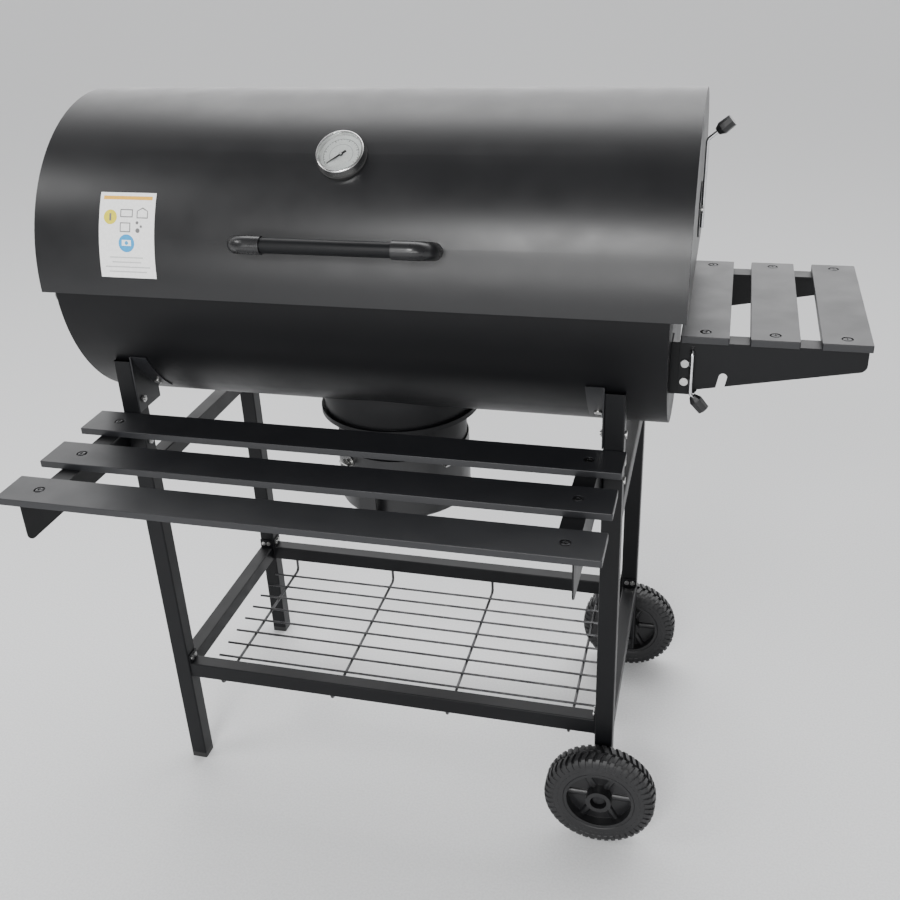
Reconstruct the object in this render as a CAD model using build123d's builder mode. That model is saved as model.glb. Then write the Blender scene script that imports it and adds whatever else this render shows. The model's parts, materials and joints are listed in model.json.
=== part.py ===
"""Charcoal barrel grill on a two-wheeled cart, with a front shelf and a side shelf.

Millimetres, +Z up. The front of the grill faces -Y and the barrel lies along X.
The origin is on the floor, in the middle of the whole grill's box.
Places are first worked out from the middle of the barrel ("grill places", with
x = 0 halfway along the barrel, y = 0 on its axis and z = 0 on the floor), and
barrel_x and barrel_y carry them over to the origin.
"""
from build123d import *
from math import asin, cos, degrees, radians, sin, sqrt
import os

os.makedirs("parts", exist_ok=True)

# ---------------------------------------------------------------- driving sizes
sheet = 1.5                  # sheet steel of the barrel and the lid
touch_gap = 0.3              # air between pieces that move past each other
running_gap = 0.05           # radial play of a shaft in its bore
hole_gap = 0.2               # radial play of a screw in its hole
seat_gap = 0.2               # flat nut or head against a curved sheet

# barrel and lid
barrel_radius = 230.0        # outside of the barrel
barrel_length = 860.0
axis_z = 898.0               # height of the barrel's axis
barrel_half = barrel_length / 2
barrel_bottom = axis_z - barrel_radius
rim_drop = 1.0               # barrel's rim below the axis
lid_clearance = 1.5          # between the barrel's outside and the lid's inside
lid_overhang = 20.0          # lid past each end of the barrel
lid_front_drop = 7.0         # lid's front edge below the axis
lid_back_rise = 3.0          # lid's back edge above the axis
rim_lip = 12.0               # folded lip along the top of a barrel end

# lid hinges
hinge_x = 300.0              # each hinge from the middle
hinge_reach = 13.0           # pin outside the barrel
hinge_length = 70.0
knuckle_radius = 5.5
pin_radius = 3.0
leaf = 2.0                   # leaf thickness
leaf_span = 14.0             # degrees of arc that a leaf covers
knuckle_share = 23.0         # length of the lid's middle knuckle
knuckle_gap = 0.5

# tube handles on the lid and on the left end
grip_radius = 10.0
elbow_radius = 12.0
elbow_bend = 20.0
elbow_sleeve = 22.0          # straight stretch of an elbow along the grip
lid_handle_half = 130.0      # foot to middle
lid_handle_angle = 17.5      # degrees above the barrel's front
lid_handle_reach = 42.0      # grip's axis off the lid
end_handle_half = 164.0
end_handle_reach = 45.0
end_handle_z = 860.0
handle_screw_radius = 3.0
handle_screw_grip = 14.0     # thread inside an elbow

# thermometer
thermo_x = -6.0
thermo_angle = 47.5
bezel_radius = 32.5
bezel_height = 13.0
bezel_wall = 2.6
bezel_floor = 3.0
gasket_radius = 34.0
gasket_height = 2.5
glass_thickness = 1.5
dial_thickness = 0.8
needle_thickness = 0.5
needle_pin_radius = 0.8      # pin on the dial that the needle turns on
needle_hub_height = 2.0
needle_turn = 130.0          # degrees from straight up, anticlockwise
stem_radius = 3.0
stem_length = 62.0
stem_collar_radius = 6.0     # threaded collar through the lid

# vent disc on the lid's right end
vent_rise = 74.0             # above the axis
vent_disc_radius = 38.0
vent_disc_thickness = 1.5
vent_hole_radius = 8.5
vent_hole_ring = 23.0
vent_hole_count = 4

# wire levers and their knobs
lever_wire_radius = 2.5
lever_tilt = 40.0            # degrees that the knob leans out
lever_bend = 8.0
knob_radius = 9.0
knob_length = 24.0
knob_sides = 8
knob_neck = 5.0

# label on the lid
label_width = 84.0
label_x = -306.0
label_low = 5.0              # degrees above the barrel's front
label_high = 33.5
label_thickness = 0.3

# cart
leg_size = 28.0
leg_wall = 1.5
cart_half_x = 377.5          # outside of the legs
cart_half_y = barrel_radius - 26.5
leg_top = barrel_bottom + 109.0
foot_cap = 10.0              # plastic cap under a left leg
rail_width = 25.0
rail_height = 28.0
lower_rail_top = 212.5
upper_rail_top = 601.0
tab_thickness = 2.0
tab_rise = 16.0              # screwed tab above a rail
tab_screw_rise = 8.0
tab_screw_half = 5.0         # half the step between a tab's two screws
frame_screw_radius = 2.5

# lugs that carry the barrel on the legs
lug_width = 26.0             # along the barrel
lug_span = 62.0              # from the leg's outer face inwards
lug_low = barrel_bottom + 27.0
lug_bolt_z = barrel_bottom + 44.0
lug_bolt_radius = 3.0
lug_bolt_angle = 47.0        # degrees below level, where a lug is bolted to the barrel

# wheels
wheel_radius = 88.0
wheel_width = 42.0
wheel_gap = 4.0              # leg to wheel
hub_radius = 56.0            # where the tyre sits
hub_rim = 5.0
boss_radius = 20.0
boss_recess_radius = 13.0
boss_recess = 12.0
spoke_count = 6
spoke_radius = 6.5
web_thickness = 4.0
axle_radius = 5.0
tread_count = 44
tread_depth = 4.0
tread_gap = 4.0
leg_below_axle = 22.0

# wire rack
rack_z = 160.0
rack_wire_radius = 2.0
rack_bar_radius = 2.5
rack_wire_count = 9
rack_wire_pitch = 37.5
rack_bar_count = 4
rack_bar_pitch = 203.0
rack_half_x = 342.0
rack_bend = 8.0

# shelves
slat_width = 62.0
slat_depth = 9.5
slat_wall = 1.2
dimple_radius = 7.5          # pressed dimple around each screw
dimple_depth = 1.8
shelf_screw_radius = 3.0
shelf_head_radius = 6.0
shelf_head_height = 2.2
bolt_head_radius = 5.5
bolt_head_height = 2.4
nut_height = 3.0
flange_width = 29.0
plate = 2.0                  # thickness of brackets and arms

front_shelf_top = 694.0
front_slat_count = 3
front_slat_pitch = 104.0
front_slat_gap = 1.0         # first slat to the legs
front_slat_left = -413.0
front_slat_right = 382.0
bracket_height = 57.0
bracket_corner = 12.0
bracket_setback = 4.0        # bracket's front end behind the slat's edge
bracket_bolt_z = (670.0, 641.0)

side_shelf_top = 848.0
side_slat_count = 3
side_slat_first = barrel_half + 42.5
side_slat_pitch = 88.0
side_shelf_half_y = 162.5
arm_inner_x = barrel_half + 11.0
arm_setback = 4.0            # arm's outer end short of the last slat
arm_end_height = 28.0
arm_root_height = 72.0
arm_corner = 10.0
arm_inset = 5.0              # arm behind the slats' front ends
notch_x = barrel_half + 69.0
notch_width = 11.0
notch_height = 20.0
notch_lean = -11.0           # degrees
mount_tab = 37.0             # mounting plate's reach from the barrel
mount_drop = 4.0             # mounting plate below the arm
mount_flange = 34.0
arm_bolt_x = barrel_half + 19.0
arm_bolt_z = (808.0, 782.0)

# lever pin of the side shelf
pin_x = barrel_half + 28.0
pin_z = 828.0
pin_drop = 58.0
pin_stub = 6.0
pin_bend = 6.0

# ash catcher
ash_hole_radius = 92.0
collar_radius = 122.0
collar_low = barrel_bottom - 22.0
collar_rim = 6.0
collar_rim_height = 8.0
sleeve_radius = 105.0
sleeve_low = barrel_bottom - 108.0
bucket_radius = 108.0        # outside
bucket_wall = 1.2
bucket_top = barrel_bottom - 76.0
bucket_low = barrel_bottom - 181.0
bucket_corner = 8.0
wing_z = barrel_bottom - 91.0
wing_slot = 7.0              # width of the bucket's open slots
wing_tail = 8.0              # thread past the collar's wall
wing_flange_radius = 8.0
wing_flange = 1.5
wing_boss_radius = 5.0
wing_boss = 6.0
wing_span = 26.0
wing_thickness = 2.5
wing_reach = 10.0
wing_nut = 5.0
wing_nut_gap = 0.4           # flat nut against the round wall
wing_angles = (55, 145, 235, 325)
bucket_vent_radius = 9.0
strap_x = -22.5              # carrying strap on the bucket's front
strap_width = 26.0
strap_thickness = 3.0
strap_reach = 26.0
strap_height = 62.0
strap_mid_z = barrel_bottom - 150.0

# inside the barrel
grate_z = 874.0              # top of the ledges
grate_ledge_reach = 21.2     # grate's ledges, from the barrel's wall inwards
tray_ledge_reach = 16.2      # tray's ledges, from the barrel's wall inwards
ledge_end_gap = 2.5          # ledge to the barrel's end
grate_bar_radius = 2.5
grate_rim = 6.0              # flat-bar frame
grate_gap = 4.0              # between the two grates
grate_end_gap = 15.0         # grate to the barrel's end
grate_side_gap = 7.2         # grate to the barrel's wall
grate_corner = 16.0
grate_bar_pitch = 17.0
tray_floor_z = barrel_bottom + 84.0
tray_rim_z = barrel_bottom + 112.0
tray_slope = 36.0            # rim to floor, front to back
tray_side_gap = 7.7          # lip to the barrel's wall
tray_lip = 12.0
tray_end_gap = 16.0
tray_slot_length = 70.0
tray_slot_width = 9.0
tray_slot_pitch = 98.0
tray_slot_row = 44.0

# ---------------------------------------------------------------- worked-out places
lid_inner = barrel_radius + lid_clearance
lid_outer = lid_inner + sheet
lid_half = barrel_half + lid_overhang
hinge_y = barrel_radius + hinge_reach
slat_front = cart_half_y + front_slat_gap + slat_width
front_reach = slat_front + (front_slat_count - 1) * front_slat_pitch
back_reach = cart_half_y + wheel_gap + wheel_width
left_reach = barrel_half + end_handle_reach + elbow_radius
side_slat_last = side_slat_first + (side_slat_count - 1) * side_slat_pitch
right_reach = side_slat_last + slat_width / 2
barrel_x = (left_reach - right_reach) / 2
barrel_y = (front_reach - back_reach) / 2


def wall_reach(z):
    """Inside half-width of the barrel at height z."""
    return sqrt((barrel_radius - sheet)**2 - (axis_z - z)**2)


grate_ledge_y = wall_reach(grate_z) - grate_ledge_reach
grate_half_y = wall_reach(grate_z) - grate_side_gap
tray_ledge_y = wall_reach(tray_rim_z) - tray_ledge_reach
tray_rim_half = wall_reach(tray_rim_z) - tray_side_gap - tray_lip
tray_floor_half = tray_rim_half - tray_slope


def spot(x, y, z):
    """A grill place as a point in the part's frame."""
    return (barrel_x + x, barrel_y + y, z)


def across(x):
    """Plane square to the barrel at x, with sketch (0, 0) on the barrel's axis."""
    return Plane(origin=spot(x, 0, axis_z), x_dir=(0, 1, 0), z_dir=(1, 0, 0))


def level(z):
    """Level plane at height z, with sketch (0, 0) under the barrel's middle."""
    return Plane(origin=spot(0, 0, z), x_dir=(1, 0, 0), z_dir=(0, 0, 1))


def upright(y):
    """Upright plane at y, seen from the front: sketch x is x and sketch y is z."""
    return Plane(origin=spot(0, y, 0), x_dir=(1, 0, 0), z_dir=(0, -1, 0))


def radial(x, angle, radius):
    """Plane on a circle about the barrel's axis, facing out, angle from the front."""
    out = (0, -cos(radians(angle)), sin(radians(angle)))
    place = spot(x, radius * out[1], axis_z + radius * out[2])
    return Plane(origin=place, x_dir=(1, 0, 0), z_dir=out)


def together(pieces):
    """Several separate solids as one piece."""
    with BuildPart() as group:
        for piece in pieces:
            add(piece.part)
    return group


def fasteners(places, radius, head, head_height, nut_height):
    """Screws at planes on the head's seat, each with its grip length, all in one piece."""
    with BuildPart() as group:
        for place, grip in places:
            with BuildSketch(place):
                Circle(radius)
            extrude(amount=-grip - (nut_height + 1.5 if nut_height else 0))
            with BuildSketch(place):
                Circle(head)
            extrude(amount=head_height)
            if nut_height:
                with BuildSketch(place.offset(-grip)):
                    RegularPolygon(radius * 1.9, 6)
                extrude(amount=-nut_height)
    return group


def around(turn, z):
    """Plane on the ash catcher's axis at height z, facing out at an angle from +X."""
    way = (cos(radians(turn)), sin(radians(turn)), 0)
    side_way = (-sin(radians(turn)), cos(radians(turn)), 0)
    return Plane(origin=spot(0, 0, z), x_dir=side_way, z_dir=way)


def save(piece, name):
    """Label a finished piece and write it."""
    piece.part.label = name
    export_step(piece.part, f"parts/{name}.step")


# ---------------------------------------------------------------- barrel
arm_top = side_shelf_top - slat_depth
arm_face_y = side_shelf_half_y - arm_inset      # outer face of each arm
side_slat_x = [side_slat_first + number * side_slat_pitch for number in range(side_slat_count)]
front_slat_y = [-slat_front + slat_width / 2 - number * front_slat_pitch
                for number in range(front_slat_count)]
leg_bolt_heights = {-1: bracket_bolt_z + (lug_bolt_z,), 1: (lug_bolt_z,)}
ash_hole_top = axis_z - sqrt(barrel_radius**2 - ash_hole_radius**2) + 10
mount_bolt_z = (arm_top - 18, arm_top - 54)
mount_y = arm_face_y - plate                    # inner face of each arm
mount_bolt_y = mount_y - mount_flange * 0.6
leg_inner_y = cart_half_y - leg_size
leg_inner_x = cart_half_x - leg_size
lug_x = leg_inner_x - lug_width / 2


def lug_bolt_places():
    """Planes of the four bolts through the barrel's wall, on its outside."""
    return [radial(side * lug_x, turn, barrel_radius)
            for side in (-1, 1) for turn in (-lug_bolt_angle, lug_bolt_angle - 180)]


with BuildPart() as barrel_shell:
    with BuildSketch(across(-barrel_half)):
        Circle(barrel_radius)
        Circle(barrel_radius - sheet, mode=Mode.SUBTRACT)
        with Locations((0, -rim_drop)):
            Rectangle(4 * barrel_radius, 2 * barrel_radius,
                      align=(Align.CENTER, Align.MIN), mode=Mode.SUBTRACT)
    extrude(amount=barrel_length)
    with BuildSketch(level(axis_z - barrel_radius - 1)):
        Circle(ash_hole_radius)
    extrude(amount=ash_hole_top - axis_z + barrel_radius, mode=Mode.SUBTRACT)
    for place in lug_bolt_places():
        with BuildSketch(place.offset(-sheet - 1)):
            Circle(lug_bolt_radius + hole_gap)
        extrude(amount=sheet + 2, mode=Mode.SUBTRACT)
save(barrel_shell, "barrel_shell")

barrel_inner = barrel_radius - sheet
rim_half = sqrt(barrel_inner**2 - rim_drop**2)


def barrel_end(side):
    """Half-round end of the barrel, flush with the shell, with a folded top lip."""
    inner = side * (barrel_half - sheet)
    with BuildPart() as end:
        with BuildSketch(across(inner)):
            Circle(barrel_inner)
            with Locations((0, -rim_drop)):
                Rectangle(4 * barrel_radius, 2 * barrel_radius,
                          align=(Align.CENTER, Align.MIN), mode=Mode.SUBTRACT)
        extrude(amount=side * sheet)
        lip_half = sqrt(barrel_inner**2 - (rim_drop + sheet)**2) - 1
        with BuildSketch(across(inner)):
            with Locations((0, -rim_drop - sheet)):
                Rectangle(2 * lip_half, sheet, align=(Align.CENTER, Align.MIN))
        extrude(amount=-side * rim_lip)
        if side > 0:
            with BuildSketch(across(inner - 1)):
                with Locations(*[(y, z - axis_z) for y in (-mount_bolt_y, mount_bolt_y)
                                 for z in mount_bolt_z]):
                    Circle(shelf_screw_radius + hole_gap)
            extrude(amount=sheet + 2, mode=Mode.SUBTRACT)
        else:
            with BuildSketch(across(inner + 1)):
                with Locations((-end_handle_half, end_handle_z - axis_z),
                               (end_handle_half, end_handle_z - axis_z)):
                    Circle(handle_screw_radius + hole_gap)
            extrude(amount=-sheet - 2, mode=Mode.SUBTRACT)
    return end


save(barrel_end(-1), "barrel_end_left")
save(barrel_end(1), "barrel_end_right")

# ---------------------------------------------------------------- lid
thermo_place = radial(thermo_x, thermo_angle, lid_outer)


def lid_handle_feet():
    """Planes on the lid's outside where the handle stands."""
    return [radial(side * lid_handle_half, lid_handle_angle, lid_outer) for side in (-1, 1)]


with BuildPart() as lid_shell:
    with BuildSketch(across(-lid_half)):
        Circle(lid_outer)
        Circle(lid_inner, mode=Mode.SUBTRACT)
        with Locations((0, -lid_front_drop)):
            Rectangle(2 * lid_outer, 2 * lid_outer,
                      align=(Align.MAX, Align.MAX), mode=Mode.SUBTRACT)
        with Locations((0, lid_back_rise)):
            Rectangle(2 * lid_outer, 2 * lid_outer,
                      align=(Align.MIN, Align.MAX), mode=Mode.SUBTRACT)
    extrude(amount=2 * lid_half)
    with BuildSketch(thermo_place.offset(-sheet - 1)):
        Circle(stem_collar_radius + hole_gap)
    extrude(amount=sheet + 2, mode=Mode.SUBTRACT)
    for place in lid_handle_feet():
        with BuildSketch(place.offset(-sheet - 1)):
            Circle(handle_screw_radius + hole_gap)
        extrude(amount=sheet + 2, mode=Mode.SUBTRACT)
save(lid_shell, "lid_shell")


def lid_end(side):
    """Flat end of the lid inside its shell; the right one has the vent holes."""
    with BuildPart() as end:
        with BuildSketch(across(side * (lid_half - sheet))):
            Circle(lid_inner)
            with Locations((0, -lid_front_drop)):
                Rectangle(4 * lid_outer, 2 * lid_outer,
                          align=(Align.CENTER, Align.MAX), mode=Mode.SUBTRACT)
            with Locations((lid_inner, -lid_front_drop - 1)):
                Rectangle(40, lid_front_drop + 1 + lid_back_rise,
                          align=(Align.CENTER, Align.MIN), mode=Mode.SUBTRACT)
            if side > 0:
                with Locations((0, vent_rise)):
                    Circle(pin_radius + hole_gap, mode=Mode.SUBTRACT)
                    with PolarLocations(vent_hole_ring, vent_hole_count, start_angle=45):
                        Circle(vent_hole_radius, mode=Mode.SUBTRACT)
        extrude(amount=side * sheet)
    return end


save(lid_end(-1), "lid_end_left")
save(lid_end(1), "lid_end_right")

# ---------------------------------------------------------------- lid hinges
half_hinge = hinge_length / 2
half_share = knuckle_share / 2


def hinge_leaf(x, side, inner_radius, spans):
    """Curved leaf on the barrel (side -1, below the pin) or the lid (side 1)."""
    edge = knuckle_radius - leaf
    start = degrees(asin(edge / inner_radius))
    with BuildPart() as piece:
        with BuildSketch(across(x - half_hinge)):
            with BuildLine():
                low = start * side
                sweep_angle = leaf_span * side
                CenterArc((0, 0), inner_radius, low, sweep_angle)
                CenterArc((0, 0), inner_radius + leaf, low, sweep_angle)
                for turn in (low, low + sweep_angle):
                    Line((inner_radius * cos(radians(turn)), inner_radius * sin(radians(turn))),
                         ((inner_radius + leaf) * cos(radians(turn)),
                          (inner_radius + leaf) * sin(radians(turn))))
            make_face()
        extrude(amount=hinge_length)
        for first, last in spans:
            with BuildSketch(across(x + first)):
                with Locations((inner_radius + leaf / 2, side * edge)):
                    Rectangle(hinge_y - inner_radius - leaf / 2, leaf,
                              align=(Align.MIN, Align.MIN if side > 0 else Align.MAX))
                with Locations((hinge_y, 0)):
                    Circle(knuckle_radius)
            extrude(amount=last - first)
        with BuildSketch(across(x - half_hinge)):
            with Locations((hinge_y, 0)):
                Circle(pin_radius + running_gap)
        extrude(amount=hinge_length, mode=Mode.SUBTRACT)
    return piece


outer_spans = ((-half_hinge, -half_share - knuckle_gap), (half_share + knuckle_gap, half_hinge))
middle_span = ((-half_share, half_share),)
barrel_leaves = [hinge_leaf(side * hinge_x, -1, barrel_radius, outer_spans) for side in (-1, 1)]
lid_leaves = [hinge_leaf(side * hinge_x, 1, lid_outer, middle_span) for side in (-1, 1)]
save(together(barrel_leaves), "hinge_leaves_barrel")
save(together(lid_leaves), "hinge_leaves_lid")

with BuildPart() as hinge_pins:
    for side in (-1, 1):
        with BuildSketch(across(side * hinge_x - half_hinge)):
            with Locations((hinge_y, 0)):
                Circle(pin_radius)
        extrude(amount=hinge_length)
        for end_x, way in ((-half_hinge - 1.5, 1), (half_hinge, 1)):
            with BuildSketch(across(side * hinge_x + end_x)):
                with Locations((hinge_y, 0)):
                    Circle(pin_radius + 1.2)
            extrude(amount=1.5 * way)
save(hinge_pins, "hinge_pins")


# ---------------------------------------------------------------- tube handles
def handle_elbow(view, half, side, reach):
    """Elbow from a foot on the wall up and over to the grip.

    view is a plane whose sketch x runs along the grip and sketch y off the wall.
    """
    foot = (side * half, 0)
    top = (side * half, reach)
    sleeve_end = (side * (half - elbow_bend - elbow_sleeve), reach)
    with BuildPart() as elbow:
        with BuildLine(view) as path:
            FilletPolyline(foot, top, sleeve_end, radius=elbow_bend)
        start = Plane(origin=path.wires()[0] @ 0, z_dir=path.wires()[0] % 0)
        with BuildSketch(start):
            Circle(elbow_radius)
        sweep()
        with BuildSketch(start):
            Circle(handle_screw_radius + hole_gap)
        extrude(amount=handle_screw_grip + 1, mode=Mode.SUBTRACT)
    return elbow


def handle_grip(view, half, reach):
    """Straight tube between the two elbows."""
    inner = half - elbow_bend - elbow_sleeve
    side_on = Plane(origin=view.from_local_coords((-inner, reach, 0)), z_dir=view.x_dir)
    with BuildPart() as grip:
        with BuildSketch(side_on):
            Circle(grip_radius)
        extrude(amount=2 * inner)
    return grip


def handle_screws(view, half, wall):
    """Two screws from inside the wall into the elbows' feet."""
    with BuildPart() as screws:
        for side in (-1, 1):
            foot = Plane(origin=view.from_local_coords((side * half, -wall - seat_gap, 0)),
                         z_dir=view.y_dir)
            with BuildSketch(foot):
                Circle(handle_screw_radius)
            extrude(amount=wall + handle_screw_grip)
            with BuildSketch(foot):
                Circle(handle_screw_radius * 2.2)
            extrude(amount=-3)
    return screws


lid_out = (0, -cos(radians(lid_handle_angle)), sin(radians(lid_handle_angle)))
lid_view = Plane(origin=spot(0, lid_outer * lid_out[1], axis_z + lid_outer * lid_out[2]),
                 x_dir=(1, 0, 0), z_dir=(0, -lid_out[2], lid_out[1]))
lid_elbows = [handle_elbow(lid_view, lid_handle_half, side, lid_handle_reach) for side in (-1, 1)]
save(together(lid_elbows), "lid_handle_elbows")
save(handle_grip(lid_view, lid_handle_half, lid_handle_reach), "lid_handle_grip")
save(handle_screws(lid_view, lid_handle_half, sheet), "lid_handle_screws")

end_view = Plane(origin=spot(-barrel_half, 0, end_handle_z), x_dir=(0, -1, 0), z_dir=(0, 0, -1))
end_elbows = [handle_elbow(end_view, end_handle_half, side, end_handle_reach) for side in (-1, 1)]
save(together(end_elbows), "end_handle_elbows")
save(handle_grip(end_view, end_handle_half, end_handle_reach), "end_handle_grip")
end_screws = handle_screws(end_view, end_handle_half, sheet)

# ---------------------------------------------------------------- thermometer
gasket_top = thermo_place.offset(gasket_height)
pocket_radius = bezel_radius - bezel_wall
glass_low = bezel_height - glass_thickness - 1.0

with BuildPart() as thermo_gasket:
    with BuildSketch(thermo_place.offset(-8)):
        Circle(gasket_radius)
        Circle(stem_collar_radius + hole_gap, mode=Mode.SUBTRACT)
    extrude(amount=8 + gasket_height)
    with BuildSketch(across(-lid_half)):
        Circle(lid_outer)
    extrude(amount=2 * lid_half, mode=Mode.SUBTRACT)
save(thermo_gasket, "thermo_gasket")

with BuildPart() as thermo_bezel:
    with BuildSketch(gasket_top):
        Circle(bezel_radius)
    extrude(amount=bezel_height)
    front_face = thermo_bezel.faces().sort_by(Axis(gasket_top.origin, gasket_top.z_dir))[-1]
    fillet(front_face.edges(), 2.0)
    with BuildSketch(gasket_top.offset(bezel_floor)):
        Circle(pocket_radius)
    extrude(amount=bezel_height - bezel_floor, mode=Mode.SUBTRACT)
save(thermo_bezel, "thermo_bezel")

needle_low = bezel_floor + dial_thickness + touch_gap
with BuildPart() as thermo_dial:
    with BuildSketch(gasket_top.offset(bezel_floor)):
        Circle(pocket_radius - 0.1)
    extrude(amount=dial_thickness)
    with BuildSketch(gasket_top.offset(bezel_floor)):
        Circle(needle_pin_radius)
    extrude(amount=needle_low - bezel_floor + needle_hub_height + touch_gap + 0.5)
    with BuildSketch(gasket_top.offset(needle_low + needle_hub_height + touch_gap)):
        Circle(2 * needle_pin_radius)
    extrude(amount=0.5)
save(thermo_dial, "thermo_dial")

needle_cos = cos(radians(needle_turn))
needle_sin = sin(radians(needle_turn))
with BuildPart() as thermo_needle:
    with BuildSketch(gasket_top.offset(needle_low + 1.0)):
        with BuildLine():
            Polyline(*[(x * needle_cos - y * needle_sin, x * needle_sin + y * needle_cos)
                       for x, y in ((-1.6, -8), (1.6, -8), (0.5, 22), (-0.5, 22))], close=True)
        make_face()
        Circle(3.0)
    extrude(amount=needle_thickness)
    with BuildSketch(gasket_top.offset(needle_low)):
        Circle(2.2)
    extrude(amount=needle_hub_height)
    with BuildSketch(gasket_top.offset(needle_low)):
        Circle(needle_pin_radius + running_gap)
    extrude(amount=needle_hub_height, mode=Mode.SUBTRACT)
save(thermo_needle, "thermo_needle")

with BuildPart() as thermo_glass:
    with BuildSketch(gasket_top.offset(glass_low)):
        Circle(pocket_radius - 0.1)
    extrude(amount=glass_thickness)
save(thermo_glass, "thermo_glass")

with BuildPart() as thermo_stem:
    with BuildSketch(gasket_top):
        Circle(stem_collar_radius)
    extrude(amount=-gasket_height - sheet - 9)
    with BuildSketch(thermo_place.offset(-sheet - 0.3)):
        RegularPolygon(10.0, 6)
    extrude(amount=-5)
    with BuildSketch(thermo_place.offset(-sheet - 8)):
        Circle(stem_radius)
    extrude(amount=-stem_length + sheet + 8)
save(thermo_stem, "thermo_stem")

# ---------------------------------------------------------------- label
with BuildPart() as lid_label:
    with BuildSketch(across(label_x - label_width / 2)):
        with BuildLine():
            outer_label = lid_outer + label_thickness
            CenterArc((0, 0), lid_outer, 180 - label_high, label_high - label_low)
            CenterArc((0, 0), outer_label, 180 - label_high, label_high - label_low)
            for turn in (180 - label_high, 180 - label_low):
                Line((lid_outer * cos(radians(turn)), lid_outer * sin(radians(turn))),
                     (outer_label * cos(radians(turn)), outer_label * sin(radians(turn))))
        make_face()
    extrude(amount=label_width)
save(lid_label, "lid_label")

# ---------------------------------------------------------------- knobs and levers
lean = radians(lever_tilt)


def knob(place):
    """Eight-sided knob along the plane's normal, narrow where the wire enters."""
    with BuildPart() as piece:
        with BuildSketch(place):
            RegularPolygon(knob_neck, knob_sides)
        with BuildSketch(place.offset(knob_length * 0.3)):
            RegularPolygon(knob_radius, knob_sides)
        loft()
        with BuildSketch(place.offset(knob_length * 0.3)):
            RegularPolygon(knob_radius, knob_sides)
        with BuildSketch(place.offset(knob_length)):
            RegularPolygon(knob_radius * 0.92, knob_sides)
        loft()
    return piece


# vent disc, its pivot, lever and knob
vent_z = axis_z + vent_rise
disc_x = lid_half + touch_gap
disc_face = disc_x + vent_disc_thickness
vent_wire_x = disc_face + lever_wire_radius
vent_wire_y = pin_radius + 6.5
vent_wire_low = vent_z - 28
vent_wire_top = vent_z + 92
lever_out = 16.0

with BuildPart() as vent_disc:
    with BuildSketch(across(disc_x)):
        with Locations((0, vent_rise)):
            Circle(vent_disc_radius)
            Circle(pin_radius + running_gap, mode=Mode.SUBTRACT)
            with PolarLocations(vent_hole_ring, vent_hole_count):
                Circle(vent_hole_radius, mode=Mode.SUBTRACT)
    extrude(amount=vent_disc_thickness)
save(vent_disc, "vent_disc")

with BuildPart() as vent_pivot:
    with BuildSketch(across(lid_half - sheet - 7)):
        with Locations((0, vent_rise)):
            Circle(pin_radius)
    extrude(amount=disc_face + touch_gap - lid_half + sheet + 7)
    with BuildSketch(across(disc_face + touch_gap)):
        with Locations((0, vent_rise)):
            Circle(pin_radius * 1.9)
    extrude(amount=3)
    with BuildSketch(across(lid_half - sheet - 5)):
        with Locations((0, vent_rise)):
            RegularPolygon(pin_radius * 1.9, 6)
    extrude(amount=5)
save(vent_pivot, "vent_pivot")

with BuildPart() as vent_lever:
    with BuildLine() as vent_path:
        FilletPolyline(
            spot(vent_wire_x, vent_wire_y, vent_wire_low),
            spot(vent_wire_x, vent_wire_y, vent_wire_top),
            spot(vent_wire_x + lever_out * cos(lean), vent_wire_y,
                 vent_wire_top + lever_out * sin(lean)),
            radius=lever_bend)
    with BuildSketch(Plane(origin=vent_path.line @ 0, z_dir=vent_path.line % 0)):
        Circle(lever_wire_radius)
    sweep()
save(vent_lever, "vent_lever")

vent_tip = spot(vent_wire_x + lever_out * cos(lean), vent_wire_y,
                vent_wire_top + lever_out * sin(lean))
save(knob(Plane(origin=vent_tip, x_dir=(0, 1, 0), z_dir=(cos(lean), 0, sin(lean)))), "vent_knob")

# ---------------------------------------------------------------- side shelf
arm_outer_x = side_slat_last + slat_width / 2 - arm_setback
screw_y = arm_face_y - flange_width / 2
notch_top = arm_top - arm_end_height - 14
mount_low = arm_top - arm_root_height - mount_drop
mount_top = arm_top - plate - 0.5


def shelf_arm(side):
    """Tapered arm with a top flange, a notch in its lower edge and the pin's hole."""
    face = upright(side * arm_face_y)
    with BuildPart() as arm:
        with BuildSketch(face):
            with BuildLine():
                Polyline((arm_inner_x, arm_top), (arm_outer_x, arm_top),
                         (arm_outer_x, arm_top - arm_end_height),
                         (arm_inner_x, arm_top - arm_root_height), close=True)
            make_face()
            outer_low = vertices().sort_by(Axis.X)[-2:].sort_by(Axis.Y)[0]
            fillet(outer_low, arm_corner)
            with Locations(Location((notch_x, notch_top - notch_width / 2), notch_lean)):
                SlotCenterPoint((0, -notch_height), (0, 0), notch_width, mode=Mode.SUBTRACT)
            with Locations((pin_x, pin_z)):
                Circle(lever_wire_radius + running_gap, mode=Mode.SUBTRACT)
            with Locations(*[(arm_bolt_x, z) for z in arm_bolt_z]):
                Circle(shelf_screw_radius + hole_gap, mode=Mode.SUBTRACT)
        extrude(amount=side * plate)
        with BuildSketch(level(arm_top - plate)):
            with Locations(((arm_inner_x + arm_outer_x) / 2, side * arm_face_y)):
                Rectangle(arm_outer_x - arm_inner_x, flange_width,
                          align=(Align.CENTER, Align.MIN if side < 0 else Align.MAX))
            with Locations(*[(x, side * screw_y) for x in side_slat_x]):
                Circle(shelf_screw_radius + hole_gap, mode=Mode.SUBTRACT)
        extrude(amount=plate)
    return arm


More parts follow.
